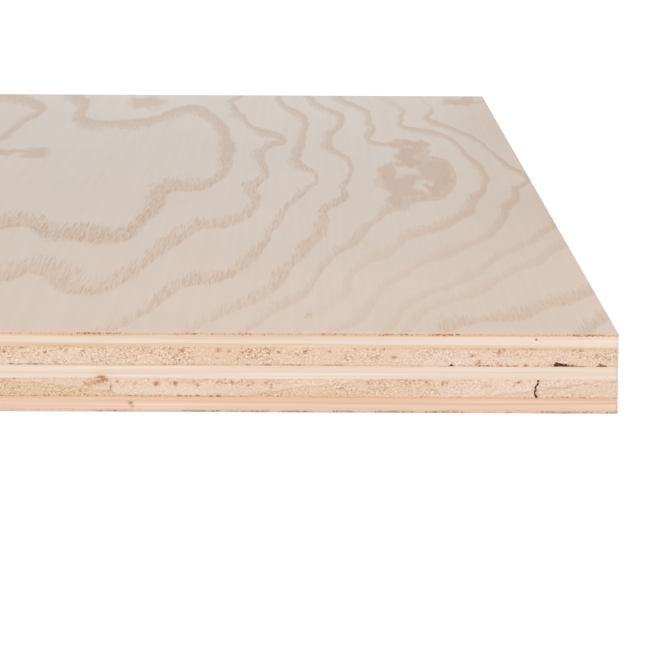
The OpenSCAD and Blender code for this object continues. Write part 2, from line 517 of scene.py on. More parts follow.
def band_width(ring_of, ring, x, y):
    """Half the width of a band, counted in rings: half its width across the grain times the slope
    of the rings, where lengths along the grain count as little as they do in the picture. The two
    oldest rings are wider, and every band swells and thins along its way. Rings 3 to 5 are
    narrower where they run out over the near end."""
    slope_x = (ring_of(x + 0.8, y) - ring_of(x - 0.8, y)) / 1.6
    shortening = EYE_HEIGHT / np.hypot(y - CAMERA_PLACE[1] / MM, EYE_HEIGHT)
    slope_y = (ring_of(x, y + 4.0) - ring_of(x, y - 4.0)) / 8.0 / shortening
    row = in_picture(x, y)[1]
    near = smooth(NEAR_FROM, NEAR_TO, row)
    narrowing = 1.0 - 0.35 * smooth(298.0, 328.0, row) * window(ring, 2.4, 2.7, 5.4, 5.7)
    share = near * np.interp(ring, *NEAR_WIDTHS) + (1.0 - near) * np.interp(ring, *FAR_WIDTHS)
    swelling = 1.0 + 0.2 * waves(15, x, y, 8.0, 60.0)
    half = 0.5 * BAND_WIDE * share * narrowing * swelling
    return np.clip(half * np.hypot(slope_x, slope_y), 0.03, 0.3)


def band_strength(ring, x, y):
    """How dark a band is, from 0 to 1: by its ring in the near part of the picture, and even in
    the far part. The younger rings keep their dark part for longer, the middle ones pale towards
    the near end, ring 6 gets lost there, and rings 6 and 7 fade at the far edge."""
    row = in_picture(x, y)[1]
    younger = smooth(5.2, 5.8, ring)
    near = smooth(NEAR_FROM + 55.0 * younger, NEAR_TO + 20.0 * younger, row)
    paling = 1.0 - 0.3 * smooth(275.0, 320.0, row) * smooth(2.4, 2.8, ring) * (1.0 - younger)
    near_lost = 0.7 * smooth(286.0, 304.0, row) * window(ring, 5.5, 5.8, 6.3, 6.5)
    far_lost = 0.6 * smooth(114.0, 106.0, row) * window(ring, 5.5, 5.8, 7.3, 7.5)
    near_strength = np.interp(ring, *NEAR_STRENGTHS) * paling * (1.0 - near_lost)
    return FAR_STRENGTH * (1.0 - near) * (1.0 - far_lost) + near_strength * near


def band_openness(ring, x, y):
    """How clearly the pores of a band stand apart: by its ring, and less towards the far end."""
    row = in_picture(x, y)[1]
    return np.interp(ring, *OPENNESS) * (0.3 + 0.7 * smooth(130.0, 220.0, row))


print("eye over the face in mm:", round(EYE_HEIGHT, 1))

# %% Knot and patches
# Soft ovals of early wood, in the picture: column, row, half width, half height and strength. The
# first two are the tongue at the left, then come the patch and the bar at the far edge and a small
# dark mark near the end, and the others make up the knot.
DARK_PATCHES = (
    (14, 151, 24, 3, 0.7), (33, 152.5, 14, 5, 0.6), (148, 102, 19, 6, 0.55),
    (463, 101.5, 21, 3.8, 0.62), (308.5, 313.5, 2.8, 5, 0.65), (414, 142, 12, 4.5, 0.78),
    (398, 144, 10, 4, 0.67), (406, 153, 10, 6, 0.78), (409, 163, 14, 6, 0.78),
    (434, 171, 17, 11, 0.69), (447, 176, 6, 11, 0.81), (437, 188, 11, 8, 0.74),
    (388, 172, 10, 9, 0.69), (396, 184, 15, 9, 0.67), (411, 181, 10, 7, 0.62),
    (405, 191, 12, 6, 0.65), (446, 166, 6, 6, 0.62), (446, 187, 6, 6, 0.6), (418, 149, 8, 6, 0.75),
    (424, 195.5, 15, 2.5, 0.62), (396, 200, 8, 8, 0.63), (377, 180, 5, 6, 0.35),
)
# Pale wood inside the knot
PALE_PATCHES = (
    (406, 170.5, 8, 3, 0.42), (421, 187, 7, 5.5, 0.45),
)


def patch_shade(x, y):
    """How dark the patches are: the strongest of the dark soft ovals less the strongest of the
    pale ones, read a little to one side so that their outlines are uneven."""
    column, row = in_picture(x, y)
    column = column + 2.2 * waves(16, column, row, 7.0, 5.0)
    row = row + 1.3 * waves(17, column, row, 9.0, 4.0)

    def strongest(ovals):
        away = [np.hypot((column - a) / wide, (row - b) / tall) for a, b, wide, tall, _ in ovals]
        strengths = np.array([oval[4] for oval in ovals])
        return np.max(strengths[:, None] * (1.0 - smooth(0.7, 1.25, np.array(away))), axis=0)

    return np.clip(strongest(DARK_PATCHES) - strongest(PALE_PATCHES), 0.0, 1.0)


print("ovals:", len(DARK_PATCHES), "dark and", len(PALE_PATCHES), "pale")

# %% [markdown]
# ## Face veneer
# The face is the thin sheet of oak that gives the panel its looks. A box with a bevel would have
# the shape, but no points inside to carry the ring numbers, so the face is a grid over X and Y,
# finer where the photograph looks. Its outermost line of points lies a tenth of a millimetre
# lower, which is the arris that handling has worn. Where a porous band runs out over the shown
# end the saw has torn small crumbs from the arris, and a splinter is missing from the right-hand
# arris near the far end.

# %% Grid of an outer veneer
CORNER_WEAR = 0.5
ARRIS_WEAR = 0.1
# Heights of the underside and the top of each veneer over the floor, in mm
LEVELS = {
    "face_veneer": (17.4, 18.0),
    "upper_crossband": (14.7, 17.4),
    "upper_inner_ply": (10.6, 14.7),
    "core_ply": (7.6, 10.6),
    "lower_inner_ply": (3.5, 7.6),
    "lower_crossband": (0.6, 3.5),
    "back_veneer": (0.0, 0.6),
}


def steps(*stretches):
    """Sorted places from stretches of start, end and step."""
    places = [np.linspace(a, b, int(round(abs(b - a) / step)) + 1) for a, b, step in stretches]
    return np.unique(np.round(np.concatenate(places), 4))


def sheet_steps(half, *stretches):
    """Places from minus half to half: the arris lowered by wear at both ends, the stretches between."""
    first = (-half, -half + ARRIS_WEAR, ARRIS_WEAR)
    last = (half - ARRIS_WEAR, half, ARRIS_WEAR)
    return steps(first, *stretches, last)


def wear_corners(x, y):
    """Points outside the bevels of the upright corners, moved in along the diagonal onto the
    bevel."""
    over = np.clip(CORNER_WEAR - (HALF_W - np.abs(x)) - (HALF_L - np.abs(y)), 0.0, None) / 2
    return x - np.sign(x) * over, y - np.sign(y) * over


def border(columns, rows):
    """Numbers of the points round a grid's border, anticlockwise from above, from its first
    corner."""
    number = np.arange(columns * rows).reshape(columns, rows)
    return np.concatenate([number[:-1, 0], number[-1, :-1], number[:0:-1, -1], number[0, :0:-1]])


def outer_grid(x_places, y_places, outer, up):
    """Points of a sheet over places in X and Y at the outer height, with its border set back by
    the arris lowered by wear, and the numbers of the points on that border. up is 1 for a sheet
    that looks up and -1 for one that looks down."""
    x, y = wear_corners(*np.meshgrid(x_places, y_places, indexing="ij"))
    grid = np.stack([x, y, np.full_like(x, outer)], axis=-1).reshape(-1, 3)
    rim = border(len(x_places), len(y_places))
    grid[rim, 2] = outer - up * ARRIS_WEAR
    return grid, rim


def quads(columns, rows):
    """Faces of a grid of points, numbered with the rows running fastest, that look up where X and
    Y grow."""
    number = np.arange(columns * rows).reshape(columns, rows)
    corners = [number[:-1, :-1], number[1:, :-1], number[1:, 1:], number[:-1, 1:]]
    return np.stack(corners, axis=-1).reshape(-1, 4)


print("worn corner in mm:", np.round(wear_corners(HALF_W, HALF_L), 3).tolist())

# %% Crumbs and the splinter
CHIP_FROM, CHIP_LENGTH, CHIP_WIDTH = 20.0, 9.0, 1.4
CHIP_MIDDLE = HALF_L - CHIP_FROM - CHIP_LENGTH / 2
# How far a crumb reaches in and down, in mm, and past the porous band, as a share
CRUMB_IN, CRUMB_DOWN, CRUMB_SPREAD = 0.08, 0.07, 1.5
# Where the lines of points of a sheet's wall lie, as shares of its height from the border
WALL_LINES = np.array([0.35, 0.7, 1.0])[:, None]


def splinter(x, y):
    """How far the right-hand border moves in: a triangle along Y, one chip width deep in its
    middle."""
    share = np.clip(1.0 - np.abs(y - CHIP_MIDDLE) / (CHIP_LENGTH / 2), 0.0, None)
    return CHIP_WIDTH * share * (x > HALF_W - 0.01)


def porous(ring, width):
    """1 in the porous early wood of a ring and 0 in its dense late wood, for bands of this half
    width."""
    part = (np.mod(ring + 0.5, 1.0) - 0.5) / width
    return smooth(-1.6, -0.8, part) * (1.0 - smooth(0.9, 1.5, part))


def tear_arris(grid, rim, up, loose, seed):
    """Tears crumbs from the border, in place: short dashes that move in and towards the core,
    nearly all of them in loose, porous wood. Returns how far each point moved in X and Y."""
    dashes = smooth(-0.4, 1.2, ripple(seed, grid[rim, 0] + 1.7 * grid[rim, 1], 0.45))
    torn = dashes * (0.25 + 0.75 * loose)
    at_side = np.abs(grid[rim, :2]) > np.array([HALF_W, HALF_L]) - 0.3
    moved = -np.sign(grid[rim, :2]) * at_side * (CRUMB_IN * torn)[:, None]
    grid[rim, :2] += moved
    grid[rim, 2] -= up * CRUMB_DOWN * torn
    return moved


def wall_points(grid, rim, moved, inner):
    """Lines of points from the border to the inner height, which lead back out of the crumbs."""
    wall = np.repeat(grid[rim][None], len(WALL_LINES), axis=0)
    wall[..., 2] = grid[rim, 2] * (1 - WALL_LINES) + inner * WALL_LINES
    wall[..., :2] -= moved * np.minimum(1.0, 1.4 * WALL_LINES)[..., None]
    return wall.reshape(-1, 3)


print("splinter in mm:", splinter(HALF_W, CHIP_MIDDLE), "deep and", CHIP_LENGTH, "long")

# %% Assemble an outer veneer


def plan_share(points):
    """Place of points in the panel's plan, from 0 to 1 in X and in Y."""
    return (points[:, :2] + (HALF_W, HALF_L)) / (2 * HALF_W, 2 * HALF_L)


def sheet_map(points, top, closing, count):
    """Corners of a sheet's faces on the baking map: the plan fills most of it, the wall lies in
    four strips at its foot, one for each quarter of the way round, and the closing face is a
    small square beside them."""
    plan = 0.06 + 0.93 * plan_share(points)
    lines = len(WALL_LINES)
    way = np.arange(count + 1) / count
    starts = np.tile(np.arange(count), lines)
    level = np.repeat(np.arange(lines), count)
    strip = np.floor(way[starts] * 4)
    ends = [way[starts], way[starts + 1], way[starts + 1], way[starts]]
    u = 0.02 + 0.9 * (np.stack(ends, axis=-1) * 4 - strip[:, None])
    v = np.stack([level + 1, level + 1, level, level], axis=-1) / lines
    wall = np.stack([u, (0.002 + 0.012 * strip)[:, None] + 0.008 * v], axis=-1)
    return plan[top], wall, 0.002 + 0.02 * plan[closing] + (0.95, 0.0)


def sheet_faces(columns, rows, rim):
    """Faces of a sheet that looks up: its grid, its wall of lines below the border, and the
    closing face."""
    lines, count = len(WALL_LINES), len(rim)
    below = columns * rows + np.arange(lines * count).reshape(lines, count)
    ring = np.concatenate([rim[None], below])
    ahead = np.roll(ring, -1, axis=1)
    wall = np.stack([ring[1:], ahead[1:], ahead[:-1], ring[:-1]], axis=-1).reshape(-1, 4)
    return quads(columns, rows), wall, ring[-1][::-1]


def build_outer(name, node, material, up, x_places, y_places, ring_of, seed):
    """One outer veneer: the sheet with its ring numbers, its torn arris, its wall and its closing
    face. For a sheet that looks down, the corners of every face are taken in reverse."""
    inner, outer = LEVELS[node][::up]
    grid, rim = outer_grid(x_places, y_places, outer, up)
    x, y = grid[:, 0], grid[:, 1]
    ring = ring_of(x, y)
    width = band_width(ring_of, ring, x, y)
    strong = band_strength(ring, x, y)
    loose = porous(ring[rim], CRUMB_SPREAD * width[rim]) * smooth(0.0, 0.5, strong[rim])
    moved = tear_arris(grid, rim, up, loose, seed)
    if up > 0:
        grid[rim, 0] -= splinter(grid[rim, 0], grid[rim, 1])
    points = np.concatenate([grid, wall_points(grid, rim, moved, inner)])
    top, wall, closing = sheet_faces(len(x_places), len(y_places), rim)
    turn = slice(None, None, up)
    faces = np.concatenate([top, wall])[:, turn].tolist() + [closing[turn].tolist()]
    top_map, wall_map, closing_map = sheet_map(points, top, closing, len(rim))
    quad_map = np.concatenate([top_map, wall_map])[:, turn].reshape(-1, 2)
    bake = np.concatenate([quad_map, closing_map[turn]])
    # The face is painted paler and warmer within 3.5 mm of its near and far ends
    over_sheet = {
        "ring": ring, "width": width, "strong": strong, "open": band_openness(ring, x, y),
        "patch": patch_shade(x, y) * (up > 0), "worn": smooth(3.5, 0.4, HALF_L - np.abs(y)),
        "edge": np.zeros(len(grid)), "loose": np.zeros(len(grid)),
    }
    over_sheet["edge"][rim] = 0.5
    over_sheet["loose"][rim] = loose
    painted = {label: np.concatenate([numbers, np.tile(numbers[rim], len(WALL_LINES))])
               for label, numbers in over_sheet.items()}
    painted["edge"][len(grid):] = 1.0
    painted["loose"][len(grid):] = np.concatenate([0.9 * loose, 0.6 * loose, 0.2 * loose])
    put_piece(name, node, points, faces, bake, painted, material)


# %% [markdown]
# ### Oak finish
# Each ring starts with a band of wide pores, which the peeling knife opens lengthwise, so the
# band is a row of fine brown strokes along the grain. The band ends sharply where the ring began
# and frays out on the other side, because the pores get scarcer there. The wood between the
# bands is pale and only faintly streaked. Within a few millimetres of the near and far ends it is
# painted a little warmer and paler, and the cut edge itself is brown and speckled. A picture of
# oak could be laid on the face, but it would blur close up and its bands would not end where the
# crumbs are. Worked out from the ring numbers, both agree.

# %% Oak finish
# Darkest brown of glue, knots and torn wood, and of the painted shade in holes, gaps and the split
DARK_GLUE_AND_SHADE = tone(126, 72, 28)
# Tones of the clouds, of the raised fibres and of the paler strip along the near and far ends
OAK_CLOUD, OAK_RAISED, OAK_PALE_ENDS = tone(222, 196, 176), tone(228, 216, 206), tone(216, 182, 157)


def oak_finish(name, pale, band_tone, pore_tone, end_tone, torn_tone):
    """Pale wood, mixed towards the band's tone by the place within the ring, with pores as
    stretched noise. part is that place in half widths of the band, and edge tells the cut edge
    from the sheet."""
    oak = Finish(name)
    ring = oak.painted("ring")
    edge = oak.painted("edge")
    opened = oak.painted("open")
    strokes = oak.noise((0.34, 11.0, 4.0), 1.0)
    hairs = oak.noise((0.22, 8.0, 4.0), 1.0, 7.3)
    streaks = oak.noise((1.6, 120.0, 8.0), 3.0, 3.1)
    clouds = oak.noise((45.0, 120.0, 60.0), 2.0, 5.7)
    part = (oak.maths("FRACT", ring + 0.5) - 0.5) / oak.painted("width")
    frayed = oak.rise(part + 2.2 * (strokes - 0.5), -1.4, -0.5)
    sharp = 1.0 - oak.rise(part + 0.9 * (hairs - 0.5), 0.6, 1.05)
    deeper = 0.7 + 0.3 * oak.rise(part, -0.9, 0.5)
    comb = 1.0 + 0.8 * opened * (oak.rise(strokes, 0.36, 0.64) - 0.5)
    early = frayed * sharp * deeper * comb * oak.painted("strong")
    patch = oak.painted("patch") * (0.75 + 0.5 * strokes)
    band = oak.maths("MAXIMUM", early, patch)
    pores = oak.rise(strokes + 0.4 * (hairs - 0.5), 0.50, 0.68) * opened * early
    raised = oak.rise(hairs, 0.56, 0.70) * opened * early
    flecks = oak.rise(hairs, 0.66, 0.78) * (1.0 - band)
    colour = oak.mix(0.5 * (clouds - 0.3), pale, OAK_CLOUD)
    colour = oak.mix(0.07 * oak.rise(streaks, 0.35, 0.75), colour, band_tone)
    colour = oak.mix(band, colour, band_tone)
    colour = oak.mix(0.5 * pores, colour, pore_tone)
    colour = oak.mix(0.5 * raised, colour, OAK_RAISED)
    colour = oak.mix(0.08 * flecks, colour, pore_tone)
    # Paler and warmer within 3.5 mm of the near and far ends
    colour = oak.mix(0.5 * oak.painted("worn"), colour, OAK_PALE_ENDS)
    grainy = oak.noise((0.3, 0.3, 0.5), 2.0, 1.9)
    end = oak.mix(0.5 * band + 0.5 * grainy - 0.2, end_tone, pore_tone)
    colour = oak.mix(oak.rise(edge, 0.3, 0.7), colour, end)
    specks = oak.noise((0.42, 0.42, 0.3), 1.0, 4.4) + 0.2 * oak.painted("loose")
    at_edge = oak.rise(edge, 0.1, 0.5)
    colour = oak.mix(at_edge * oak.rise(specks, 0.58, 0.72), colour, torn_tone)
    colour = oak.mix(0.8 * at_edge * oak.rise(specks, 0.72, 0.84), colour, DARK_GLUE_AND_SHADE)
    rough = 0.44 + 0.1 * band + 0.06 * (streaks - 0.5)
    height = 0.4 * hairs + 0.6 * strokes - 0.7 * pores
    return oak.finish(colour, rough, height, 0.03, 0.5)


face_oak = oak_finish("oak_face", tone(197, 178, 160), tone(185, 152, 123), tone(157, 121, 91),
                      tone(206, 180, 150), tone(172, 114, 66))
print("finish:", face_oak.name)

# %% Make the face veneer
face_x = sheet_steps(HALF_W, (-HALF_W + 0.5, -HALF_W + 2.0, 0.75), (-HALF_W + 2.0, 100.0, 4.0),
                     (100.0, 160.0, 1.5), (160.0, HALF_W - 0.5, 0.5))
face_y = sheet_steps(HALF_L, (-HALF_L + 0.5, -HALF_L + 3.0, 1.25),
                     (-HALF_L + 3.0, HALF_L - 31.0, 5.0), (HALF_L - 31.0, HALF_L - 18.0, 1.5),
                     (HALF_L - 18.0, HALF_L - 0.5, 3.5))
build_outer("oak_face_sheet", "face_veneer", face_oak, 1, face_x, face_y, face_rings, 21)

# %% [markdown]
# ## Back veneer
# The back is the same thin oak, laid the other way up. A mirrored copy of the face would repeat
# its figure, so the back is built by the same functions with a figure of its own. No photograph
# shows it, so that figure is drawn by long waves alone, and its tone is a little duller than the
# face, as the back of such a panel usually is.

# %% Make the back veneer


def back_rings(x, y):
    """Ring numbers of the back: the long waves of the hidden part, mirrored and shifted, with the
    same wandering."""
    wander = 0.05 * waves(13, x, y, 9.0, 40.0) + 0.035 * waves(14, x, y, 3.0, 16.0)
    return hidden_rings(90.0 - x, 40.0 - y) + wander


back_oak = oak_finish("oak_back", tone(212, 194, 178), tone(192, 168, 146), tone(158, 130, 106),
                      tone(214, 188, 172), tone(184, 150, 132))
back_x = sheet_steps(HALF_W, (-HALF_W + 0.5, -HALF_W + 2.0, 0.75), (-HALF_W + 2.0, 160.0, 3.0),
                     (160.0, HALF_W - 0.5, 0.75))
back_y = sheet_steps(HALF_L, (-HALF_L + 0.5, -HALF_L + 2.5, 1.0), (-HALF_L + 2.5, HALF_L - 0.5, 6.0))
build_outer("oak_back_sheet", "back_veneer", back_oak, -1, back_x, back_y, back_rings, 22)

# %% [markdown]
# ## Sawn edges of the plies
# Between the two oak sheets only the sawn edges of the plies are seen. A plain box with a bump
# texture would look flat from close by, so each ply is an upright line of points carried once
# round the panel's outline, with every point set in by the relief at that place. Wood cut across
# its fibres is rough and pitted, and wood cut along them is smooth with fine ridges, so the
# relief depends on whether the ply's grain meets that side end on.

# %% Path round the outline
SIDE_END = 609.5
CORNER_STEP = (0.0, CORNER_WEAR, CORNER_WEAR)
FRONT_STEPS = steps(CORNER_STEP, (1.0, 450.0, 1.2), (450.0, SIDE_END, 0.25))
SIDE_STEPS = steps(CORNER_STEP, (1.0, SIDE_END, 2.0))


def outline(front, side):
    """Path round the panel, anticlockwise from above and starting at the left of the shown end.
    Returns the places, the outward directions, the number of the side, and the distance from the
    right-hand end of that side. Each side starts at its corner point, which lies in the middle of
    the bevel that wear has cut."""
    corner = np.array([[-HALF_W, -HALF_L], [HALF_W, -HALF_L], [HALF_W, HALF_L], [-HALF_W, HALF_L]])
    heading = np.array([[1.0, 0.0], [0.0, 1.0], [-1.0, 0.0], [0.0, -1.0]])
    outward = np.array([[0.0, -1.0], [1.0, 0.0], [0.0, 1.0], [-1.0, 0.0]])
    length = np.array([2 * HALF_W, 2 * HALF_L, 2 * HALF_W, 2 * HALF_L])
    number = np.repeat(np.arange(4), [len(front), len(side), len(side), len(side)])
    run = np.concatenate([front, side, side, side])
    place = corner[number] + heading[number] * run[:, None]
    at_corner = (run < 1e-6)[:, None]
    diagonal = outward[number] + outward[number - 1]
    place = np.where(at_corner, place - diagonal * CORNER_WEAR / 2, place)
    facing = np.where(at_corner, diagonal / np.sqrt(2.0), outward[number])
    return place, facing, number, length[number] - run


path = outline(FRONT_STEPS, SIDE_STEPS)
print("points round the outline:", len(path[0]))

# %% Carry a ply along the path
STRIPS = 6
STRIP_TALL = 1.0 / (4 * STRIPS + 1)


def ply_grid(node, grain, path, rows):
    """Arrays over the path and the rows: whether the place is on the shown end, whether the saw
    met the fibres end on there, the distance from the right-hand end of the side, and the height
    over the ply's underside, in mm."""
    lower, upper = LEVELS[node]
    shape = (len(path[0]), len(rows))
    side = np.broadcast_to(path[2][:, None], shape)
    run = np.broadcast_to(path[3][:, None], shape)
    height = np.broadcast_to(rows * round(upper - lower, 3), shape)
    across = {"X": 1, "Y": 0}[grain]
    return side == 0, side % 2 == across, run, height


def strip_map(path, rows):
    """Corners of a ply's wall on the baking map, which cuts each side into strips that lie one
    over another."""
    number, left_over = path[2:]
    share = 1.0 - left_over / (2 * HALF_W)
    ahead = np.where(np.roll(number, -1) == number, np.roll(share, -1), 1.0)
    strip = np.minimum(np.floor(share * STRIPS + 1e-6), STRIPS - 1)
    u = 0.015 + 0.94 * (np.stack([share, ahead, ahead, share], axis=-1) * STRIPS - strip[:, None])
    up = np.stack([rows[:-1], rows[:-1], rows[1:], rows[1:]], axis=-1)[None]
    v = (0.1 + 0.8 * up + (number * STRIPS + strip)[:, None, None]) * STRIP_TALL
    return np.stack([np.broadcast_to(u[:, None, :], v.shape), v], axis=-1).reshape(-1, 2)


def build_ply(name, node, material, path, rows, relief, painted):
    """One ply: the upright line of rows, carried along the path and set in by the relief, with
    one face below and one above."""
    place, facing = path[:2]
    lower, upper = LEVELS[node]
    spot = place[:, None, :] - facing[:, None, :] * relief[..., None]
    level = np.broadcast_to(lower + (upper - lower) * rows, relief.shape)
    points = np.concatenate([spot, level[..., None]], axis=-1).reshape(-1, 3)
    index = np.arange(relief.size).reshape(relief.shape)
    ahead = np.roll(index, -1, axis=0)
    wall = np.stack([index[:, :-1], ahead[:, :-1], ahead[:, 1:], index[:, 1:]], axis=-1)
    under, over = index[::-1, 0], index[:, -1]
    faces = wall.reshape(-1, 4).tolist() + [under.tolist(), over.tolist()]
    plan = 0.6 * STRIP_TALL * plan_share(points) + (0.02, 1.0 - 0.8 * STRIP_TALL)
    bake = np.concatenate([strip_map(path, rows), plan[under], plan[over] + (0.1, 0.0)])
    put_piece(name, node, points, faces, bake, painted, material)


print("baking strips of a ply:", 4 * STRIPS)

# %% Relief and marks of sawn wood


def sawn_relief(seed, run, height, end_on):
    """How far the sawn surface is set in, in mm: end on, a coarse unevenness with scattered pits,
    and along the fibres only shallow ridges that run with the edge. It is never negative, so no
    point stands proud."""
    coarse = 0.05 + 0.022 * waves(seed, run, height, 0.9, 0.5)
    pits = 0.12 * smooth(0.9, 1.9, waves(seed + 1, run, height, 0.6, 0.45))
    ridges = 0.02 + 0.01 * waves(seed + 2, run, height, 35.0, 0.35)
    return np.clip(np.where(end_on, coarse + pits, ridges), 0.0, None)


def marks(table, shown, run, height):
    """Strongest of the soft oval marks on the shown end. Each has its distance from the
    right-hand corner, its height over the ply's underside, its half width and half height in mm,
    and its strength."""
    shades = [strength * bell(np.hypot((run - a) / wide, (height - b) / tall), 0.0, 1.2)
              for a, b, wide, tall, strength in table]
    return np.max(shades, axis=0) * shown


def glue_and_shade_dots(seed, run, height, at, reach=0.14, often=0.1):
    """Broken dark line along a glue joint at a height, the glue's own dark with painted shade of
    the joint's small checks: a bell curve across it, times uneven dashes along it that come and go
    over longer stretches."""
    dashes = smooth(often, often + 1.2, ripple(seed, run, 0.5))
    stretches = smooth(-0.9, 0.8, ripple(seed + 1, run, 22.0))
    return bell(height, at, reach) * dashes * stretches


print("deepest relief end on in mm:", round(float(sawn_relief(42, path[3], 2.0, True).max()), 3))

# %% [markdown]
# ### Softwood finish
# The plies are plain softwood. Five separate materials could be drawn, but one formula serves
# all five, and what differs is told by numbers painted on the points: how grainy, how warm, how
# much of the dense late wood and how dark the place is, where dark holds real marks and glue as
# well as painted shade in holes, gaps, the split and along the joints. Noise that is stretched
# along the fibres gives streaks where the saw ran along them and speckles where it cut across,
# and the pits of the end grain get painted shade.

# %% Finishes of the five plies
# Tones of pale lumps, of the painted shade in pits, and of stains together with painted shade
PALE_LUMP, PIT_SHADE_BROWN, STAIN_AND_SHADE_BROWN = tone(243, 230, 214), tone(162, 123, 95), tone(182, 136, 102)
# Name, direction of the fibres, roughness, and the pale, the warm and the late wood's tone
SOFTWOODS = (
    ("upper_crossband_pine", "X", 0.62, (220, 203, 188), (211, 179, 144), (196, 155, 118)),
    ("upper_inner_pine", "Y", 0.75, (220, 199, 183), (212, 183, 154), (189, 150, 125)),
    ("core_pine", "X", 0.62, (220, 204, 189), (214, 187, 163), (204, 168, 139)),
    ("lower_inner_pine", "Y", 0.75, (220, 199, 182), (212, 183, 152), (184, 143, 108)),
    ("lower_crossband_pine", "X", 0.62, (220, 194, 173), (214, 183, 152), (205, 158, 132)),
)


def softwood_finish(name, grain, rough, pale, warm, late):
    """Pale wood, mixed by the painted numbers towards a warm tone, the late wood's tone and the
    dark of knots and glue, which also holds painted shade in holes, gaps, the split and along the
    joints. Noise that is long along the fibres adds lumps and dots: streaks on a long edge,
    speckles on an end, where the dots that the bump sets in are painted brown as shade in the pits."""
    wood = Finish(name)
    late_tone = tone(*late)
    grainy = wood.painted("grainy")
    lumps = wood.noise({"X": (45.0, 0.6, 0.42), "Y": (0.55, 45.0, 0.42)}[grain], 2.0, 2.7)
    dots = wood.noise({"X": (12.0, 0.3, 0.26), "Y": (0.42, 12.0, 0.28)}[grain], 1.0, 9.1)
    torn = wood.noise({"X": (60.0, 6.0, 3.0), "Y": (6.0, 60.0, 3.0)}[grain], 1.0, 5.5)
    patches = wood.rise(torn, 0.40, 0.60)
    amount = 0.5 + grainy * (0.1 + 0.5 * patches)
    colour = wood.mix(wood.painted("warm") + 0.4 * (lumps - 0.5), tone(*pale), tone(*warm))
    colour = wood.mix(0.6 * amount * wood.rise(lumps, 0.50, 0.72), colour, late_tone)
    colour = wood.mix(0.55 * amount * wood.rise(lumps, 0.48, 0.28), colour, PALE_LUMP)
    # Dots of end grain that the bump sets in are painted brown: painted shade in the pits
    pit_shade = grainy * (0.2 + 0.8 * patches) * wood.rise(dots, 0.55, 0.68)
    colour = wood.mix(0.9 * pit_shade, colour, PIT_SHADE_BROWN)
    colour = wood.mix(wood.painted("late"), colour, late_tone)
    # The painted number dark holds real marks and glue, and also painted shade in holes, gaps and the
    # split
    stain_and_shade = wood.painted("dark") * (0.5 + wood.rise(dots, 0.36, 0.64))
    colour = wood.mix(wood.rise(stain_and_shade, 0.0, 0.6), colour, STAIN_AND_SHADE_BROWN)
    colour = wood.mix(wood.rise(stain_and_shade, 0.4, 1.2), colour, DARK_GLUE_AND_SHADE)
    height = 0.6 * lumps * amount - 0.6 * grainy * wood.rise(dots, 0.58, 0.76)
    return wood.finish(colour, rough, height, 0.06, 0.35)


softwood = {row[0]: softwood_finish(*row) for row in SOFTWOODS}
print("finishes:", list(softwood))

# %% [markdown]
# ## Upper crossband
# Just under the face lies a pale ply with its grain across the picture. The saw ran along its
# fibres on the shown end, so it is smooth and streaked: warm along both glue lines and nearly
# white between them. The streaks could all be noise, but the warm ones follow the glue, so they
# are painted by the height over the ply's underside. A pin hole shows near the right-hand
# corner. Towards the left the lower glue line rises a little, and torn wood of the ply below
# shows in its place.

# %% Make the upper crossband
PIN_FROM, PIN_DOWN, PIN_ACROSS = 18.4, 0.7, 0.4
band_rows = np.linspace(0.0, 1.0, 15)
shown, end_on, run, height = ply_grid("upper_crossband", "X", path, band_rows)
thick = height[0, -1]
pin_away = np.hypot(run - PIN_FROM, height - (thick - PIN_DOWN))
pin = shown & (pin_away < 0.42 * PIN_ACROSS)
relief = sawn_relief(41, run, height, end_on) + 0.3 * pin
wander = waves(31, run, height, 60.0, 3.0)
seam = 0.25 * smooth(25.0, 75.0, run) * shown
over = height - seam + 0.05 * wander
torn_over = smooth(0.08, -0.08, over) * (seam > 0.05)
# In the middle of the shown part the warm tone is thin at the top and reaches higher at the foot
pale_top = bell(run, 85.0, 20.0) * shown
top_reach = 0.6 + 0.15 * wander - 0.45 * pale_top
warm_top = (0.52 - 0.1 * pale_top) * bell(height, thick, top_reach)
warm_foot = 0.68 * smooth(0.68, 0.2, over - 0.12 - 0.6 * pale_top)
warm_left = 0.22 * smooth(100.0, 120.0, run) * shown
painted = {
    "grainy": np.maximum(end_on * 1.0, 0.8 * torn_over),
    "warm": warm_top + warm_foot + warm_left - 0.4 * torn_over * smooth(115.0, 95.0, run),
    "late": 0.15 * bell(over, 0.28, 0.12) + 0.12 * bell(over, 0.0, 0.1),
    # The pin hole is set in and painted dark: painted shade in the hole
    "dark": 0.3 * glue_and_shade_dots(51, run, height, 0.0) + 0.9 * pin,
}
build_ply("upper_crossband_edge", "upper_crossband",
          softwood["upper_crossband_pine"], path, band_rows, relief, painted)

# %% [markdown]
# ## Upper inner ply
# This ply's fibres run away from the viewer, so the shown end is end grain, torn and granular.
# Where the sheets of the ply did not meet, wedge-shaped gaps are left on the glue line with the
# core: each rises gently from its end near the corner to a shoulder and drops steeply behind it.
# A boolean could cut them out, but it would break up the even grid of points, so the points
# inside a gap's outline are set in instead.

# %% Gaps and marks of the upper inner ply
# Distance of a gap from the right-hand corner, its length, its height, and how deep it is open
GAPS = ((7.5, 7.2, 0.8, 1.0), (2.3, 2.7, 0.7, 0.15), (36.5, 1.6, 0.5, 0.6))
GAP_STEEP = 0.7
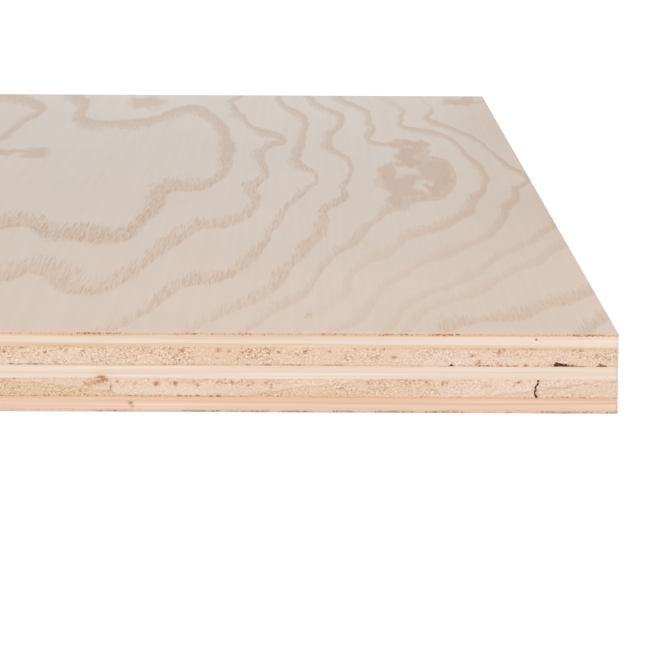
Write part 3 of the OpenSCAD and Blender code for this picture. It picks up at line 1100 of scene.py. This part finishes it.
# Pits, painted brown as their shade, and resin
UPPER_MARKS = (
    (0.5, 3.4, 0.4, 0.3, 0.5), (4.9, 2.6, 0.3, 0.6, 0.45), (8.4, 3.65, 0.5, 0.25, 0.6),
    (10.0, 3.8, 0.3, 0.25, 0.45), (15.1, 0.4, 0.5, 0.3, 0.6), (18.0, 0.15, 0.6, 0.15, 0.6),
    (18.9, 3.85, 2.2, 0.1, 0.4), (20.7, 0.25, 0.5, 0.2, 0.6), (25.5, 3.8, 0.4, 0.3, 0.6),
    (26.6, 3.3, 0.28, 0.55, 0.85), (27.0, 0.5, 0.3, 0.4, 0.5), (26.4, 0.15, 0.6, 0.15, 0.5),
    (31.0, 1.0, 0.3, 0.5, 0.4), (31.8, 0.4, 0.35, 0.3, 0.4), (32.6, 2.4, 0.6, 0.3, 0.6),
    (39.0, 3.7, 0.35, 0.3, 0.5), (50.0, 2.0, 0.55, 0.35, 0.55), (52.3, 3.8, 0.3, 0.25, 0.5),
    (53.9, 1.9, 0.35, 0.3, 0.45), (58.9, 3.8, 0.3, 0.25, 0.5), (63.0, 0.15, 2.8, 0.15, 0.5),
    (64.5, 3.25, 0.35, 0.3, 0.5), (69.8, 3.25, 0.45, 0.45, 0.65), (72.0, 0.15, 2.9, 0.15, 0.5),
    (73.8, 3.0, 0.35, 0.3, 0.5), (75.8, 3.0, 0.4, 0.35, 0.5), (78.1, 2.8, 0.4, 0.35, 0.5),
    (83.1, 3.35, 0.35, 0.3, 0.5), (83.7, 3.0, 0.4, 0.4, 0.5), (84.6, 1.5, 0.35, 0.3, 0.45),
    (86.8, 3.35, 0.4, 0.35, 0.5), (89.3, 3.5, 0.5, 0.45, 0.6), (89.4, 1.6, 0.35, 0.3, 0.45),
    (97.5, 3.4, 0.5, 0.45, 0.55), (100.3, 3.5, 0.5, 0.25, 0.5), (106.1, 3.2, 0.3, 0.6, 0.4),
    (117.3, 1.3, 0.35, 0.3, 0.4), (119.2, 3.2, 0.25, 0.5, 0.4), (123.1, 3.2, 0.4, 0.35, 0.5),
    (124.2, 3.6, 0.4, 0.3, 0.45), (127.8, 2.8, 0.5, 0.3, 0.5), (132.9, 2.5, 0.35, 0.3, 0.45),
    (133.0, 3.75, 0.8, 0.2, 0.55), (135.0, 3.6, 0.4, 0.3, 0.5), (136.9, 3.1, 0.4, 0.4, 0.6),
)
# Smooth places between the torn ones
CALM_MARKS = (
    (15.2, 2.2, 1.6, 1.6, 1.0), (47.5, 2.0, 2.0, 1.5, 0.8), (90.0, 1.2, 2.6, 0.8, 0.9),
)


def gap_roof(run, start, long, tall):
    """Height of a gap's roof over the glue line: a straight rise from its start to the shoulder,
    then a straight fall over the steep end, and below zero elsewhere."""
    rising = (run - start) / (long - GAP_STEEP)
    return np.minimum(rising, (start + long - run) / GAP_STEEP) * tall


def gap_relief(shown, run, height, ragged):
    """How far the gaps set the surface in, and how dark they are painted: each is open to its depth
    under the high part of its roof, is filled with crumbs and glue under the low part, and has a
    brown lip. Inside, each gap is painted dark as painted shade, more where it is open."""
    deep = np.zeros_like(run)
    dark = np.zeros_like(run)
    for start, long, tall, depth in GAPS:
        roof = gap_roof(run, start, long, tall) + ragged
        inside = shown & (roof > 0.04) & (height < roof)
        opened = smooth(0.48, 0.75, roof / tall)
        lip = bell(height - roof, 0.0, 0.2) * smooth(0.0, 0.15, roof) * shown
        deep = np.maximum(deep, inside * (0.2 + depth * opened))
        # Painted shade inside each gap, darker where it is open, and its brown lip
        dark = np.max([dark, inside * (0.55 + 0.5 * opened * (depth > 0.3)), 0.4 * lip], axis=0)
    return deep, dark


print("gaps:", len(GAPS), "and marks:", len(UPPER_MARKS))

# %% Make the upper inner ply
inner_rows = np.linspace(0.0, 1.0, 25)
shown, end_on, run, height = ply_grid("upper_inner_ply", "Y", path, inner_rows)
gap_deep, gap_painted_shade = gap_relief(shown, run, height, 0.07 * waves(32, run, height, 0.5, 0.5))
relief = sawn_relief(42, run, height, end_on) + gap_deep
drift = waves(33, run, height, 18.0, 4.0)
# Near the corner a smooth strip of the crossband's wood lies over the seam, along the top
seam = 4.25 - 0.65 * smooth(75.0, 25.0, run) * shown
strip = smooth(-0.1, 0.1, height - seam + 0.05 * drift)
calm = marks(CALM_MARKS, shown, run, height)
rough = bell(run, 85.0, 18.0) * shown
granular = (0.85 + 0.2 * drift + 0.5 * rough) * (1.0 - 0.8 * strip) * (1.0 - 0.8 * calm)
warm_left = 0.5 * smooth(3.2, 4.0, height) * smooth(85.0, 115.0, run)
# Dark glue along the joint, with painted shade of its small checks
glue = 0.9 * glue_and_shade_dots(52, run, height, 0.1, 0.2, -0.5)
painted = {
    "grainy": np.where(end_on, granular, 0.0),
    "warm": 0.4 + 0.2 * drift + 0.7 * strip + 0.3 * bell(height, 0.0, 0.3) + warm_left + 0.2 * rough,
    "late": 0.25 * bell(height, 0.1, 0.2) + 0.05 * strip,
    "dark": glue + marks(UPPER_MARKS, shown, run, height) + gap_painted_shade,
}
build_ply("upper_inner_edge", "upper_inner_ply",
          softwood["upper_inner_pine"], path, inner_rows, relief, painted)

# %% [markdown]
# ## Core ply
# The middle ply is the palest. Its grain runs across the picture like the crossbands', and a
# faint line of late wood runs along its middle over most of the shown end. Over the small knot
# of the ply below, its foot is warm and stained. It has no cuts of its own, so it could be left
# a plain box, but beside rough neighbours that would show. The same functions make it with other
# numbers.

# %% Make the core ply
KNOT_FAN = ((115.4, 0.9, 1.8, 1.3, 0.5),)
KNOT_STAIN = ((115.3, 0.15, 0.9, 0.5, 0.5),)
shown, end_on, run, height = ply_grid("core_ply", "X", path, band_rows)
thick = height[0, -1]
wander = waves(35, run, height, 70.0, 3.0)
middle_line = bell(height, 1.48 + 0.1 * wander, 0.2) * smooth(50.0, 75.0, run)
warm_glue = 0.05 * bell(height, 0.0, 0.6) + 0.3 * bell(height, thick, 0.4)
# Dark glue along both joints, with painted shade of their small checks
glue = 0.4 * glue_and_shade_dots(53, run, height, thick) + 0.3 * glue_and_shade_dots(54, run, height, 0.0)
painted = {
    "grainy": end_on * 1.0,
    "warm": 0.2 + warm_glue + marks(KNOT_FAN, shown, run, height),
    "late": 0.3 * middle_line + 0.17 * bell(height, 0.0, 0.2),
    "dark": glue + marks(KNOT_STAIN, shown, run, height),
}
build_ply("core_edge", "core_ply", softwood["core_pine"], path, band_rows,
          sawn_relief(43, run, height, end_on), painted)

# %% [markdown]
# ## Lower inner ply
# The second ply of end grain has a dark split through its whole height near the corner, bent
# where it follows the rings, and a small knot at its upper glue line further left, with the
# fibres flaring round it. Ring lines cross it at a flat angle, and the wood under them is
# yellower. The split could be a dark strip laid on the wood. Here the path has closer points
# round it, and those inside are set in, so that it is a real slit with a ragged outline. Inside
# it and in a soft band round it the wood is also painted dark, as painted shade.

# %% Split, marks and ring line of the lower inner ply
SPLIT_TOP, SPLIT_BEND, SPLIT_RETURN, SPLIT_WIDE, SPLIT_DEPTH = 17.7, 1.0, 0.5, 0.45, 0.32
# Pits painted brown as their shade, streaks, and the knot with its brown wedge and the dark line
# behind its pale heart
LOWER_MARKS = (
    (14.3, 0.8, 0.3, 0.25, 0.4), (22.2, 3.5, 0.6, 0.2, 0.75), (23.1, 2.8, 0.2, 0.5, 0.35),
    (38.2, 3.3, 0.35, 0.3, 0.5), (39.1, 3.2, 0.3, 0.45, 0.7), (42.8, 3.5, 0.3, 0.25, 0.45),
    (44.9, 2.0, 0.35, 0.3, 0.4), (52.0, 1.8, 0.3, 0.25, 0.4), (53.2, 3.25, 0.3, 0.25, 0.5),
    (55.7, 3.1, 0.3, 0.3, 0.5), (71.7, 3.15, 0.6, 0.15, 0.5), (77.4, 2.5, 0.3, 0.5, 0.5),
    (78.6, 3.15, 0.4, 0.35, 0.5), (81.5, 3.25, 0.4, 0.35, 0.5), (82.6, 2.7, 0.35, 0.3, 0.45),
    (86.1, 3.35, 0.45, 0.4, 0.6), (89.3, 3.35, 0.35, 0.3, 0.5), (93.8, 2.5, 0.4, 0.35, 0.5),
    (94.5, 3.25, 0.3, 0.25, 0.45), (98.8, 2.95, 0.4, 0.45, 0.8), (103.1, 3.0, 0.5, 0.45, 0.75),
    (107.9, 2.95, 0.4, 0.3, 0.35), (111.8, 3.45, 0.3, 0.25, 0.6), (118.9, 2.9, 0.35, 0.4, 0.45),
    (114.7, 3.75, 0.8, 0.35, 0.85), (115.6, 3.4, 0.7, 0.3, 0.7), (116.9, 2.95, 0.8, 0.3, 0.55),
    (118.0, 2.5, 0.6, 0.35, 0.4), (113.2, 1.9, 0.2, 0.75, 0.6), (114.1, 1.15, 0.8, 0.12, 0.4),
)
# Warm, orange places, the last of them faint and broad
ORANGE_MARKS = (
    (29.4, 2.75, 0.8, 0.4, 0.7), (15.3, 2.3, 1.5, 0.25, 0.6), (11.1, 3.0, 1.8, 0.2, 0.5),
    (107.9, 2.9, 0.6, 0.4, 0.5), (127.4, 1.3, 0.3, 0.7, 0.4), (116.4, 3.4, 2.6, 0.9, 0.6),
    (77.5, 3.4, 1.8, 0.6, 0.35), (82.5, 3.3, 1.2, 0.6, 0.3), (88.9, 3.3, 1.8, 0.7, 0.35),
    (95.4, 3.4, 2.2, 0.6, 0.35), (86.5, 2.1, 6.0, 1.0, 0.13),
)
# Distance from the right-hand corner and height of the ring line
RING_LINE = (
    (0, 3.75), (4.5, 3.7), (18, 1.8), (31, 0), (39.4, 0), (41.6, 4.1), (55, 4.1), (58.9, 3.4),
    (63.5, 2.9), (70.5, 2.3), (75, 1.6), (79.6, 0.9), (83, 0.2), (96, 0.1), (112, 0.4), (113, 1.2),
    (119, 1.7), (127, 2.7), (133, 3.1), (139, 4.1), (260, 0.5), (440, 3.6), (610, 1.0),
)
SPLIT_STEPS = steps(CORNER_STEP, (1.0, 450.0, 1.2), (450.0, 589.0, 0.25), (589.0, 593.5, 0.09),
                    (593.5, SIDE_END, 0.25))
split_path = outline(SPLIT_STEPS, SIDE_STEPS)
shown, end_on, run, height = ply_grid("lower_inner_ply", "Y", split_path, inner_rows)
thick = height[0, -1]
split_heights = [0.0, thick / 3, thick]
split_runs = [SPLIT_TOP + SPLIT_BEND - SPLIT_RETURN, SPLIT_TOP + SPLIT_BEND, SPLIT_TOP]
split_line = np.interp(height, split_heights, split_runs)
beside = np.abs(run - split_line + 0.06 * ripple(36, height, 0.4))
half_wide = SPLIT_WIDE * (0.32 + 0.1 * ripple(40, height, 0.45))
in_split = shown & (beside < half_wide)
opened = smooth(4.0, 3.1, height) * smooth(-1.2, -0.4, ripple(46, height, 0.6))
ring_line = np.interp(run, *np.transpose(RING_LINE)) + 0.15 * ripple(38, run, 1.5)
print("split from the corner in mm:", split_runs, "and marks:", len(LOWER_MARKS))

# %% Make the lower inner ply
relief = sawn_relief(44, run, height, end_on) + (0.3 + SPLIT_DEPTH * opened) * in_split
below = smooth(0.3, -0.3, height - ring_line)
drift = waves(37, run, height, 24.0, 3.0)
orange = marks(ORANGE_MARKS, shown, run, height)
rough_top = 0.6 * bell(run, 88.0, 18.0) * smooth(2.2, 3.0, height) * shown
speckled = 0.9 * window(run, 65.0, 71.0, 78.0, 84.0) - 0.4 * smooth(22.0, 14.0, run)
granular = 0.3 + 0.7 * below + 0.1 * drift + 0.8 * orange + speckled * below + rough_top
warm_wood = (0.4 + 0.3 * below + 0.15 * drift) * smooth(12.0, 60.0, run)
warm_below = (0.15 + 0.2 * smooth(30.0, 20.0, run) - 0.2 * speckled) * below
near_corner = smooth(24.0, 14.0, run) * smooth(-0.8, 0.6, ripple(59, run, 1.2))
late_line = (0.35 + 0.4 * near_corner) * bell(height, ring_line, 0.17)
dotted = window(run, 79.0, 86.0, 107.0, 113.0) * smooth(0.0, 0.9, ripple(58, run, 0.45))
glue_and_shade_foot = 0.6 * glue_and_shade_dots(55, run, height, 0.1, 0.2, -0.2)
glue_and_shade_foot = glue_and_shade_foot + 0.9 * dotted * bell(height, 0.15, 0.2) * shown
glue_and_shade_top = 0.5 * glue_and_shade_dots(56, run, height, 4.0, 0.2)
# Painted shade: dark inside the split, more where it is open, fading out round it
split_painted_shade = (0.5 + 0.3 * opened) * in_split + 0.35 * shown * bell(beside, 0.0, 0.4)
painted = {
    "grainy": np.where(end_on, granular, 0.0),
    "warm": 0.05 + warm_wood + warm_below + orange,
    "late": late_line + 0.3 * bell(height, 0.1, 0.15) + 0.3 * orange,
    "dark": glue_and_shade_foot + glue_and_shade_top + marks(LOWER_MARKS, shown, run, height) + split_painted_shade,
}
build_ply("lower_inner_edge", "lower_inner_ply",
          softwood["lower_inner_pine"], split_path, inner_rows, relief, painted)

# %% [markdown]
# ## Lower crossband
# The lowest thick ply is of a pinker wood. A line of late wood runs along it near its upper glue
# line, and a small dark mark sits low on it towards the left. It is made as the upper crossband
# is, and only the painted numbers differ: its line follows five places read off the photograph,
# because noise would not keep one line whole along the edge.

# %% Make the lower crossband
STAIN_MARKS = ((108.8, 1.5, 0.5, 0.45, 0.5), (108.4, 0.75, 0.4, 0.35, 0.4))
LATE_LINE = ((0.0, 30.0, 60.0, 95.0, 140.0), (1.8, 1.6, 1.65, 1.9, 2.2))
shown, end_on, run, height = ply_grid("lower_crossband", "X", path, band_rows)
wander = waves(39, run, height, 80.0, 3.0)
upper_line = bell(height, np.interp(run, *LATE_LINE) + 0.06 * wander, 0.22) * smooth(150.0, 60.0, run)
lower_line = bell(height, 0.7 + 0.1 * wander, 0.16) + bell(height, 0.1, 0.2)
warm_top = 0.15 * smooth(0.5, 1.3, height) + 0.8 * smooth(1.8, 2.6, height)
painted = {
    "grainy": end_on * 1.0,
    "warm": 0.05 + 0.15 * wander + warm_top,
    "late": 0.75 * upper_line + 0.2 * lower_line + 0.35 * smooth(2.2, 2.7, height),
    "dark": 0.3 * glue_and_shade_dots(57, run, height, 0.0) + marks(STAIN_MARKS, shown, run, height),
}
build_ply("lower_crossband_edge", "lower_crossband",
          softwood["lower_crossband_pine"], path, band_rows,
          sawn_relief(45, run, height, end_on), painted)
